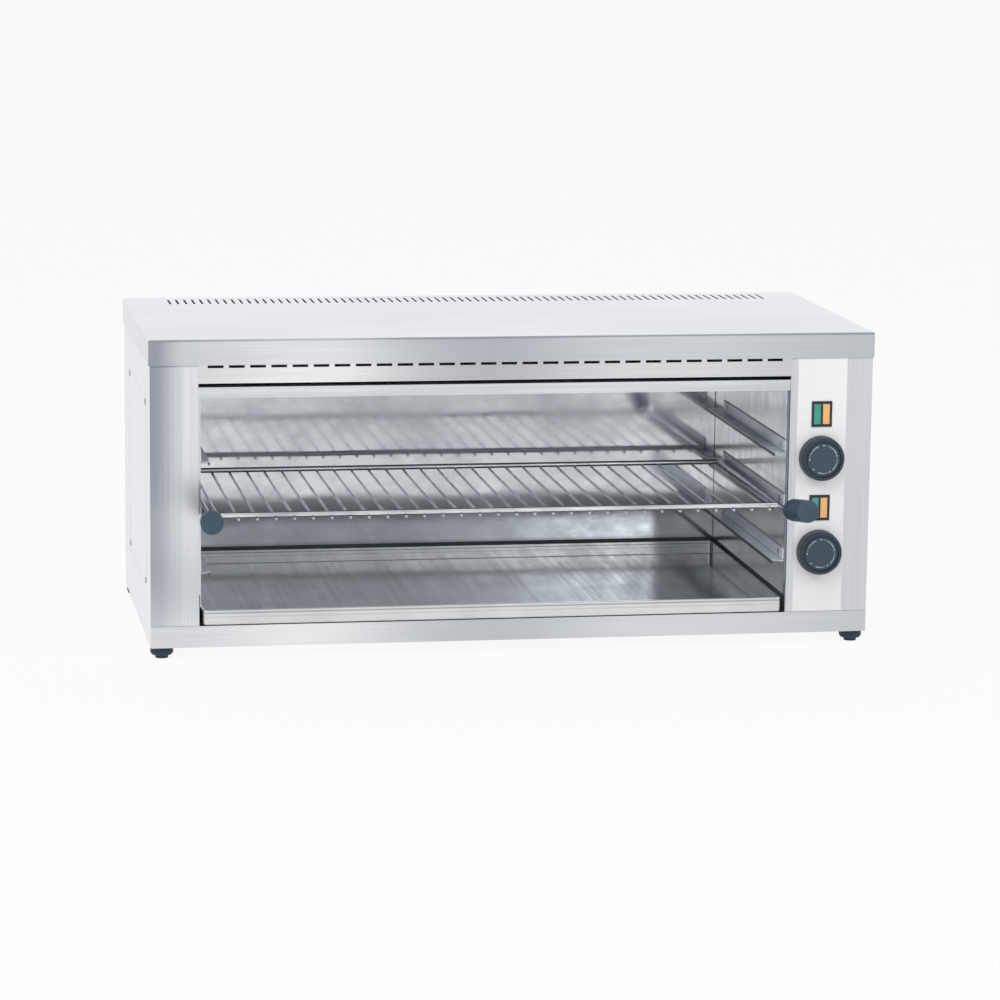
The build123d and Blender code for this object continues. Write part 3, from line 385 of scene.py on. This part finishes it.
# Runners: the ledge's height above the runner's foot, and heights from the ledge of the painted
# shade

RUNNER_SMEAR = (50.0, 8.0, 50.0)
RUNNER_LEDGE = 4.5 * MM
LIP_BELOW = (-1.2 * MM, -0.4 * MM)
RUNNER_CREST = (13.6 * MM, 15.2 * MM)
RUNNER_ROOT = 1.6 * MM
ROOT_REACH = 1.4 * MM


def runner_steel(node):
    """A runner with a pale flange and painted shade: dark below the ledge, at the flange's top edge
    and along its root.
    """
    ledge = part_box(node)[0].z + RUNNER_LEDGE
    paint = Paint(node + "_steel", metallic=0.26)
    smear = paint.noise(RUNNER_SMEAR, detail=4.0, rough=0.6)
    pale = paint.mottle(
        smear, colour(238, 245, 252), colour(196, 207, 219), spread=(0.38, 0.7), most=0.7
    )
    # painted shade below the ledge, at the flange's top edge and along its root
    below = paint.fade("z", ledge + LIP_BELOW[0], ledge + LIP_BELOW[1], 0.92, 0.0)
    crest = paint.fade("z", ledge + RUNNER_CREST[0], ledge + RUNNER_CREST[1], 0.0, 0.75)
    root = paint.near("z", ledge + RUNNER_ROOT, ROOT_REACH)
    dark = paint.total((below, 1.0), (crest, 1.0), (root, 0.5))
    paint.set("base color", paint.mix(dark, pale, SHADE_AND_GRAIN_BLACK))
    paint.gloss(smear, (0.3, 0.42), spread=SOFT_SPREAD)
    return paint.material


HEAT_TINT = (12.0, 26.0, 12.0)


def wire_steel(name, shade=None):
    """Bright wire, duller where heat has tinted it."""
    paint = Paint(name, metallic=1.0)
    heat = paint.noise(HEAT_TINT, detail=3.0)
    dull = colour(140, 144, 152)
    base = paint.mottle(heat, colour(218, 221, 226), dull, spread=(0.42, 0.7), most=0.6)
    # painted shade: the colour is mixed towards the dull one where shade gives 1
    if shade:
        base = paint.mix(shade(paint), base, dull)
    paint.set("base color", base)
    paint.gloss(heat, (0.14, 0.28), spread=(0.4, 0.7))
    return paint.material


# Plastics, rubber, ceramic, film and quartz

MOULD_GRIT = (1500.0, 1500.0, 1500.0)
MOULD_CLOUD = (30.0, 30.0, 30.0)
MOULD_BUMP = 0.06 * MM
NARROW_SPREAD = (0.38, 0.62)
LATE_SPREAD = (0.4, 0.7)
GRIP_STARTS = (18.4 * MM, 19.4 * MM)
LAMP_RIBS = 260.0
LAMP_HAZE = (120.0, 120.0, 60.0)
COIL_TURNS = 120.0
FILM_SPECK = (2200.0, 2200.0, 300.0)
FILM_CLOUD = (8.0, 8.0, 5.0)


def moulded(name, light, dark):
    """Moulded plastic with a fine spark-eroded texture."""
    paint = Paint(name)
    grit = paint.noise(MOULD_GRIT, detail=3.0)
    cloud = paint.noise(MOULD_CLOUD, detail=2.0)
    uneven = paint.blend(grit, 0.5, cloud, 0.5)
    paint.set("base color", paint.mottle(uneven, light, dark, spread=NARROW_SPREAD))
    paint.gloss(grit, (0.42, 0.55))
    paint.bump(grit, strength=0.25, distance=MOULD_BUMP)
    return paint.material


def dial_plastic(knob):
    """Moulded plastic whose disc is paler than the grip round it."""
    paint = Paint(knob + "_plastic")
    grit = paint.noise(MOULD_GRIT, detail=3.0)
    grip = paint.ramp(paint.from_axis(*knob_axis(knob)), *GRIP_STARTS, 0.0, 1.0)
    disc = paint.mottle(grit, colour(64, 82, 97), colour(46, 62, 76))
    edge = paint.mottle(grit, colour(48, 64, 78), colour(34, 47, 58))
    paint.set("base color", paint.mix(grip, disc, edge))
    paint.gloss(grit, (0.36, 0.5))
    paint.bump(grit, strength=0.25, distance=MOULD_BUMP)
    return paint.material


def speckled(name, light, dark, size, detail, spread=EVEN, strength=0.0, **settings):
    """A matt material with an even speckle, scaled per metre, which may stand up a little."""
    paint = Paint(name, **settings)
    grit = paint.noise((size, size, size), detail=detail)
    paint.set("base color", paint.mottle(grit, light, dark, spread=spread))
    if strength:
        paint.bump(grit, strength=strength, distance=0.1 * MM)
    return paint.material


def satin_film():
    """The near-white control panel, with a very fine satin speckle."""
    paint = Paint("panel_film", roughness=0.4, coat_weight=0.15, coat_roughness=0.25)
    speck = paint.noise(FILM_SPECK, detail=2.0)
    cloud = paint.noise(FILM_CLOUD, detail=2.0)
    uneven = paint.blend(speck, 0.5, cloud, 0.5)
    paint.set(
        "base color",
        paint.mottle(uneven, colour(250, 250, 251), colour(243, 243, 246), spread=NARROW_SPREAD),
    )
    return paint.material


def window(name, light, dark):
    """A lamp's tinted window: ribs inside show through its smooth face."""
    paint = Paint(name, roughness=0.22, coat_weight=0.3, coat_roughness=0.08)
    ribs = paint.bands("Z", LAMP_RIBS, distortion=0.4)
    haze = paint.noise(LAMP_HAZE, detail=2.0)
    uneven = paint.blend(ribs, 0.35, haze, 0.5)
    paint.set("base color", paint.mottle(uneven, light, dark, spread=(0.2, 0.7)))
    return paint.material


def milky_quartz():
    """Frosted quartz tube with the coil's warm grey showing through."""
    paint = Paint("quartz", roughness=0.35, transmission_weight=0.45, ior=1.46)
    coil = paint.bands("X", COIL_TURNS)
    paint.set("base color", paint.mix(coil, colour(232, 228, 222), colour(196, 184, 172)))
    return paint.material


# Painted reflection and shade: tones painted into the steel's colour for the parts of the studio
# that the sheets catch, and for shade. Each shade gives 0 where its sheet is light and 1 where it
# is dark

SHEEN_LEVEL = 0.33
SHEEN_PLACES = (
    # middle along x, reach, how much darker
    (-0.235, 0.15, -0.33),
    (-0.03, 0.17, 0.38),
    (0.42, 0.22, 0.26),
)


def painted_front_sheen(paint):
    """Painted reflection: fronts painted light at the left, dull near the middle and again further
    right.
    """
    spots = [(paint.near("x", middle, reach), darker) for middle, reach, darker in SHEEN_PLACES]
    return paint.total(SHEEN_LEVEL, *spots)


def lip_shadow(paint):
    """Painted shadow: a dark line just under the lid's lip."""
    return paint.fade("z", lid_low.z - 2.2 * MM, lid_low.z - 1.0 * MM, 0.0, 0.5)


def left_column_shade(paint):
    """Painted shade: darker and bluer at the left column's outer edge, most at its top, and darker
    low down.
    """
    across = paint.fade("x", column_low.x, column_high.x - 8 * MM, 0.88, 0.0, smooth=True)
    down = paint.fade("z", column_low.z + 20 * MM, column_low.z + 200 * MM, 0.36, 1.0, smooth=True)
    edge = paint.math("MULTIPLY", across, down)
    # painted shade, darker low on the column
    band = paint.near("z", column_low.z + 70 * MM, 80 * MM)
    return paint.total((edge, 1.0), (band, 0.3), (lip_shadow(paint), 1.0))


def right_column_shade(paint):
    """Painted shade on the folded inner edge of the right column."""
    start = right_column_low.y + 1.2 * MM
    flange = paint.fade("y", start, start + 0.8 * MM, 0.0, 0.85)
    return paint.total((flange, 1.0), (lip_shadow(paint), 1.0))


def lid_shade(paint):
    """Painted tones of the front on the lid's front lip only, and painted shade at its left end and
    its bend.
    """
    lip = paint.fade("y", lid_low.y + 1.0 * MM, lid_low.y + 3.0 * MM, 1.0, 0.0)
    end = paint.fade("x", lid_low.x - 6 * MM, lid_low.x + 40 * MM, 0.95, 0.0, smooth=True)
    bend = paint.fade("z", lid_high.z - 2.6 * MM, lid_high.z - 1.2 * MM, 0.0, 0.55)
    tone = paint.total((painted_front_sheen(paint), 1.0), (end, 1.0), (bend, 1.0))
    return paint.math("MULTIPLY", lip, tone)


def hood_shade(paint):
    """Painted shade: the bar's flanges, which lie in the cooling gap and above the tubes, are
    painted black, and the front has a little of the painted tones of the front.
    """
    flange = paint.fade("y", hood_low.y + 1.2 * MM, hood_low.y + 1.8 * MM)
    return paint.total((flange, 1.0), (painted_front_sheen(paint), 0.2))


def right_wall_shade(paint):
    """Painted shade on the edge of the right wall that shows beside the column."""
    start = right_wall_low.y + 1.4 * MM
    return paint.fade("y", start, start + 1.0 * MM, 1.0, 0.0)


def back_wall_shade(paint):
    """Painted reflection and shade on the back wall: darker towards its top, lighter at its ends
    and low down, and painted shade at its foot, just above the tray's rim."""
    high = paint.fade("z", back_high.z - 130 * MM, back_high.z - 50 * MM, smooth=True)
    left = paint.fade("x", back_low.x, back_low.x + 200 * MM, 0.3, 0.0, smooth=True)
    right = paint.fade("x", back_high.x - 200 * MM, back_high.x - 60 * MM, smooth=True)
    low = paint.near("z", back_low.z + 50 * MM, 70 * MM)
    # painted shadow at the wall's foot, just above the tray's rim
    foot = paint.fade("z", tray_high.z - 1.0 * MM, tray_high.z + 8.0 * MM, 0.8, 0.0)
    return paint.total(0.26, (high, 0.1), (left, -0.72), (right, -0.15), (low, -0.18), (foot, 1.0))


def wire_end_shade(paint):
    """Painted shade on the cut ends at the front."""
    return paint.fade("y", wires_low.y + 0.2 * MM, wires_low.y + 2.0 * MM, 0.5, 0.0)


def pan_gap_shade(paint):
    """Painted shade beside and behind the crumb tray, where the pan shows only in dark gaps; the
    pan's front flange is left light.
    """
    rear = paint.fade("y", pan_high.y - 40 * MM, pan_high.y - 15 * MM)
    left = paint.fade("x", pan_low.x + 12 * MM, pan_low.x + 34 * MM, 1.0, 0.0)
    right = paint.fade("x", pan_high.x - 34 * MM, pan_high.x - 12 * MM)
    edges = paint.math("MAXIMUM", rear, paint.math("MAXIMUM", left, right))
    inside = paint.fade("y", pan_low.y + 5 * MM, pan_low.y + 8 * MM)
    return paint.math("MULTIPLY", edges, inside)


def reflector_gap_shade(paint):
    """Painted shade on the upper face of the reflector, which shows only as a dark gap."""
    return paint.fade("z", reflector_high.z - 0.5 * MM, reflector_high.z - 0.2 * MM, smooth=True)


# Materials of the nodes

def slot_paints():
    """One material for each of the record's slots that has a node without a material of its own."""
    return {
        "brushed_rail": brushed(
            "brushed_rail", colour(246, 246, 247), colour(174, 178, 185), "x",
            rough=(0.28, 0.4), shade=painted_front_sheen,
        ),
        "side_steel": brushed(
            "side_steel", colour(243, 244, 247), colour(216, 219, 225), "y", rough=(0.34, 0.46)
        ),
        "lid_steel": brushed(
            "lid_steel", colour(242, 243, 246), colour(160, 165, 173), "x",
            rough=(0.32, 0.44), shade=lid_shade,
        ),
        "chamber_steel": polished(
            "chamber_steel", colour(214, 219, 226), colour(182, 188, 197), metal=0.7
        ),
        "tray_steel": tray_steel(),
        "rack_wire": wire_steel("rack_wire"),
        "plain_steel": plain_steel("plain_steel", colour(216, 218, 222), colour(186, 189, 195)),
        "screw_steel": plain_steel("screw_steel", colour(206, 208, 212), colour(170, 174, 181)),
        "panel_film": satin_film(),
        "handle_plastic": moulded("handle_plastic", colour(62, 84, 102), colour(52, 72, 89)),
        "black_plastic": moulded("black_plastic", colour(36, 42, 50), colour(28, 33, 40)),
        "white_plastic": moulded("white_plastic", colour(236, 234, 226), colour(224, 221, 212)),
        "regulator_plastic": moulded("regulator_plastic", colour(58, 58, 60), colour(46, 46, 48)),
        "wire_cover": speckled(
            "wire_cover", colour(168, 62, 52), colour(138, 46, 40),
            size=500.0, detail=3.0, roughness=0.5,
        ),
        "ceramic_white": speckled(
            "ceramic_white", colour(240, 236, 228), colour(216, 208, 196),
            size=700.0, detail=4.0, spread=LATE_SPREAD, strength=0.2, roughness=0.55,
        ),
        "quartz": milky_quartz(),
        "lamp_green": window("lamp_green", colour(70, 176, 154), colour(38, 140, 122)),
        "lamp_amber": window("lamp_amber", colour(255, 200, 132), colour(244, 172, 98)),
        "foot_rubber": speckled(
            "foot_rubber", colour(48, 64, 78), colour(31, 43, 55),
            size=900.0, detail=4.0, strength=0.3, roughness=0.6, specular_ior_level=0.45,
        ),
    }


def own_paints():
    """Materials for the nodes whose finish differs from the rest of their slot."""
    own = {
        "left_front_column": brushed(
            "left_column_steel", colour(240, 241, 243), STEEL_DARK, "z", shade=left_column_shade
        ),
        "right_front_column": brushed(
            "right_column_steel", colour(222, 223, 227), colour(150, 155, 163), "z",
            shade=right_column_shade,
        ),
        "front_crossbar": brushed(
            "crossbar_steel", colour(254, 254, 254), colour(158, 161, 168), "x", shade=painted_front_sheen
        ),
        "hood_front_bar": brushed(
            "hood_bar_steel", colour(238, 241, 246), SHADE_AND_GRAIN_BLACK, "x",
            rough=(0.16, 0.26), shade=hood_shade,
        ),
        "chamber_back_wall": polished(
            "back_wall_steel", colour(234, 238, 243), colour(96, 103, 112),
            rough=(0.06, 0.13), wave=0.16, shade=back_wall_shade, metal=0.82,
        ),
        "chamber_right_wall": polished(
            "right_wall_steel", colour(254, 255, 255), colour(120, 127, 136),
            rough=(0.12, 0.2), wave=0.2, shade=right_wall_shade, metal=0.86,
        ),
        "chamber_floor": gap_shaded_steel("pan_steel", pan_gap_shade, stained=0.8),
        "ceiling_reflector": gap_shaded_steel("reflector_steel", reflector_gap_shade),
        "knob_upper": dial_plastic("knob_upper"),
        "knob_lower": dial_plastic("knob_lower"),
        "rack_wires": wire_steel("rack_wires_steel", wire_end_shade),
    }
    for side in ("left", "right"):
        for level in ("lower", "middle", "upper"):
            node = "runner_" + side + "_" + level
            own[node] = runner_steel(node)
    return own


def dress_nodes():
    """Gives every CAD node the material of its slot, or its own where the photograph shows one."""
    shared = slot_paints()
    own = own_paints()
    for part in frame["record"]["subparts"]:
        name = part["node"]
        mesh = nodes[name].data
        mesh.materials.clear()
        mesh.materials.append(own.get(name) or shared[part["material_slot"]])


def add_object(name, mesh):
    """Turns a bmesh into an object of the scene."""
    data = bpy.data.meshes.new(name)
    mesh.to_mesh(data)
    mesh.free()
    made = bpy.data.objects.new(name, data)
    bpy.context.scene.collection.objects.link(made)
    return made


# Dial marks: five dots and four tapering arcs of generic scale on each knob's disc. Angles are in
# degrees, from the right and against the clock

DISC_DROP = 0.6 * MM
MARK_RING = 15.6 * MM
MARK_HIGH = 0.12 * MM
DOT_R = 1.05 * MM
DOT_SIDES = 12
DOT_ANGLES = (15.0, 90.0, 180.0, 225.0, 300.0)
ARC_THIN = 0.25 * MM
ARC_THICK = 1.5 * MM
ARC_STEPS = 12
ARCS = ((172.0, 112.0), (82.0, 24.0), (8.0, -48.0), (-66.0, -112.0))


def add_flat(mesh, outline, y):
    """A flat raised mark whose outline is a ring of (x, z) points."""
    front = [mesh.verts.new((x, y - MARK_HIGH, z)) for x, z in outline]
    back = [mesh.verts.new((x, y, z)) for x, z in outline]
    mesh.faces.new(front)
    mesh.faces.new(list(reversed(back)))
    for i in range(len(outline)):
        j = (i + 1) % len(outline)
        mesh.faces.new((front[j], front[i], back[i], back[j]))


def polar(middle_x, middle_z, radius, degrees):
    angle = math.radians(degrees)
    return middle_x + radius * math.cos(angle), middle_z + radius * math.sin(angle)


def arc_outline(x, z, start, end):
    """An arc that grows from thin at its start to thick at its end."""
    inner = []
    outer = []
    for i in range(ARC_STEPS + 1):
        share = i / ARC_STEPS
        degrees = start + (end - start) * share
        width = ARC_THIN + (ARC_THICK - ARC_THIN) * share
        outer.append(polar(x, z, MARK_RING + width / 2, degrees))
        inner.append(polar(x, z, MARK_RING - width / 2, degrees))
    return outer + inner[::-1]


def dial_marks(knob, body, paint):
    x, z = knob_axis(knob)
    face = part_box(knob)[0].y + DISC_DROP
    mesh = bmesh.new()
    for degrees in DOT_ANGLES:
        dot_x, dot_z = polar(x, z, MARK_RING, degrees)
        corners = [polar(dot_x, dot_z, DOT_R, 360 / DOT_SIDES * i) for i in range(DOT_SIDES)]
        add_flat(mesh, corners, face)
    for start, end in ARCS:
        add_flat(mesh, arc_outline(x, z, start, end), face)
    bmesh.ops.recalc_face_normals(mesh, faces=mesh.faces)
    marks = add_object(knob + "_marks", mesh)
    marks.data.materials.append(paint)
    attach(marks, body)


def add_dial_marks():
    paint = speckled(
        "dial_mark", colour(172, 187, 198), colour(136, 154, 168),
        size=2500.0, detail=2.0, spread=LATE_SPREAD, roughness=0.5,
    )
    dial_marks("knob_upper", "upper_knob", paint)
    dial_marks("knob_lower", "lower_knob", paint)


# Floor

FLOOR_SIZE = 80.0
FLOOR_PALE = 0.88
FLOOR_LIFT = 0.9


def make_floor():
    """A pale floor that looks nearly white to the camera and in the steel, and keeps the shadow."""
    mesh = bmesh.new()
    bmesh.ops.create_grid(mesh, x_segments=1, y_segments=1, size=FLOOR_SIZE)
    floor = add_object("floor", mesh)
    material = bpy.data.materials.new("floor")
    material.use_nodes = True
    graph = Graph(material.node_tree)
    graph.tree.nodes.clear()
    matte = graph.node("ShaderNodeBsdfDiffuse")
    matte.inputs["Color"].default_value = (FLOOR_PALE, FLOOR_PALE, FLOOR_PALE, 1.0)
    glow = graph.node("ShaderNodeEmission")
    glow.inputs["Color"].default_value = WHITE
    path = graph.node("ShaderNodeLightPath").outputs
    seen = graph.math("MAXIMUM", path["Is Camera Ray"], path["Is Glossy Ray"])
    seen = graph.math("MAXIMUM", seen, path["Is Transmission Ray"])
    lift = graph.math("MULTIPLY", seen, FLOOR_LIFT)
    surface = graph.mix_shaders(lift, matte.outputs[0], glow.outputs[0])
    out = graph.node("ShaderNodeOutputMaterial")
    graph.feed(out.inputs["Surface"], surface)
    floor.data.materials.append(material)


# World: a direction's y or z at the two ends of each fade in the room that steel mirrors

WORLD_LIGHT = 0.62
STUDIO_FRONT = 0.72
CAMERA_SIDE = (-0.35, 0.15)
ABOVE_FLOOR = (0.03, 0.16)
BELOW_TOP = (0.62, 0.86)
STRIP_TURN = math.radians(11.8)
STRIP_HALF = math.radians(2.0)
STRIP_LEVEL = 3.0
STRIP_TOP = (0.25, 0.36)


def add_backdrop(graph, level):
    made = graph.node("ShaderNodeBackground")
    made.inputs["Color"].default_value = WHITE
    graph.feed(made.inputs["Strength"], level)
    return made.outputs[0]


def room_level(graph):
    """How bright the room is that steel mirrors, by direction."""
    split = graph.node("ShaderNodeSeparateXYZ")
    graph.feed(split.inputs[0], graph.node("ShaderNodeTexCoord").outputs["Generated"])
    x, y, z = split.outputs
    facing = graph.ramp(y, *CAMERA_SIDE, 1.0, 0.0, smooth=True)
    raised = graph.ramp(z, *ABOVE_FLOOR, 0.0, 1.0, smooth=True)
    below_top = graph.ramp(z, *BELOW_TOP, 1.0, 0.0, smooth=True)
    dim = graph.math("MULTIPLY", graph.math("MULTIPLY", facing, raised), below_top)
    turn = graph.math("ARCTAN2", x, graph.math("MULTIPLY", y, -1.0))
    beside = graph.math("ABSOLUTE", graph.math("SUBTRACT", turn, STRIP_TURN), 0.0)
    across = graph.ramp(beside, 0.0, STRIP_HALF, STRIP_LEVEL, 0.0, smooth=True)
    low = graph.ramp(z, *STRIP_TOP, 1.0, 0.0, smooth=True)
    strip = graph.math("MULTIPLY", graph.math("MULTIPLY", across, low), dim)
    dimmed = graph.ramp(dim, 0.0, 1.0, 1.0, STUDIO_FRONT, smooth=True)
    return graph.math("ADD", dimmed, strip)


def make_world():
    """Soft light all round. Steel mirrors a room that is dimmer above the camera, with an upright
    strip of light in it, and white behind."""
    world = bpy.data.worlds.new("studio")
    bpy.context.scene.world = world
    world.use_nodes = True
    graph = Graph(world.node_tree)
    graph.tree.nodes.clear()
    path = graph.node("ShaderNodeLightPath").outputs
    soft = add_backdrop(graph, WORLD_LIGHT)
    room = add_backdrop(graph, room_level(graph))
    mirrored = graph.mix_shaders(path["Is Glossy Ray"], soft, room)
    seen = graph.math("MAXIMUM", path["Is Camera Ray"], path["Is Transmission Ray"])
    surface = graph.mix_shaders(seen, mirrored, add_backdrop(graph, 1.0))
    out = graph.node("ShaderNodeOutputWorld")
    graph.feed(out.inputs["Surface"], surface)


# Lamps

LAMP_TARGET = Vector((0.0, 0.0, 0.15))
LAMPS = (
    # name, place, width, height, watts
    ("key", Vector((-1.1, -1.9, 2.3)), 1.6, 1.2, 26),
    ("fill", Vector((1.8, -1.6, 1.4)), 1.4, 1.4, 9),
)


def make_lamps():
    """Two soft lamps, left out of the steel's reflections because they would make it clip."""
    for name, place, width, height, watts in LAMPS:
        data = bpy.data.lights.new(name, "AREA")
        data.shape = "RECTANGLE"
        data.size = width
        data.size_y = height
        data.energy = watts
        lamp = bpy.data.objects.new(name, data)
        bpy.context.scene.collection.objects.link(lamp)
        lamp.visible_glossy = False
        lamp.location = place
        lamp.rotation_mode = "QUATERNION"
        lamp.rotation_quaternion = (LAMP_TARGET - place).to_track_quat("-Z", "Y")


make_camera()
dress_nodes()
add_dial_marks()
make_floor()
make_world()
make_lamps()
bpy.context.scene.view_settings.view_transform = "Standard"
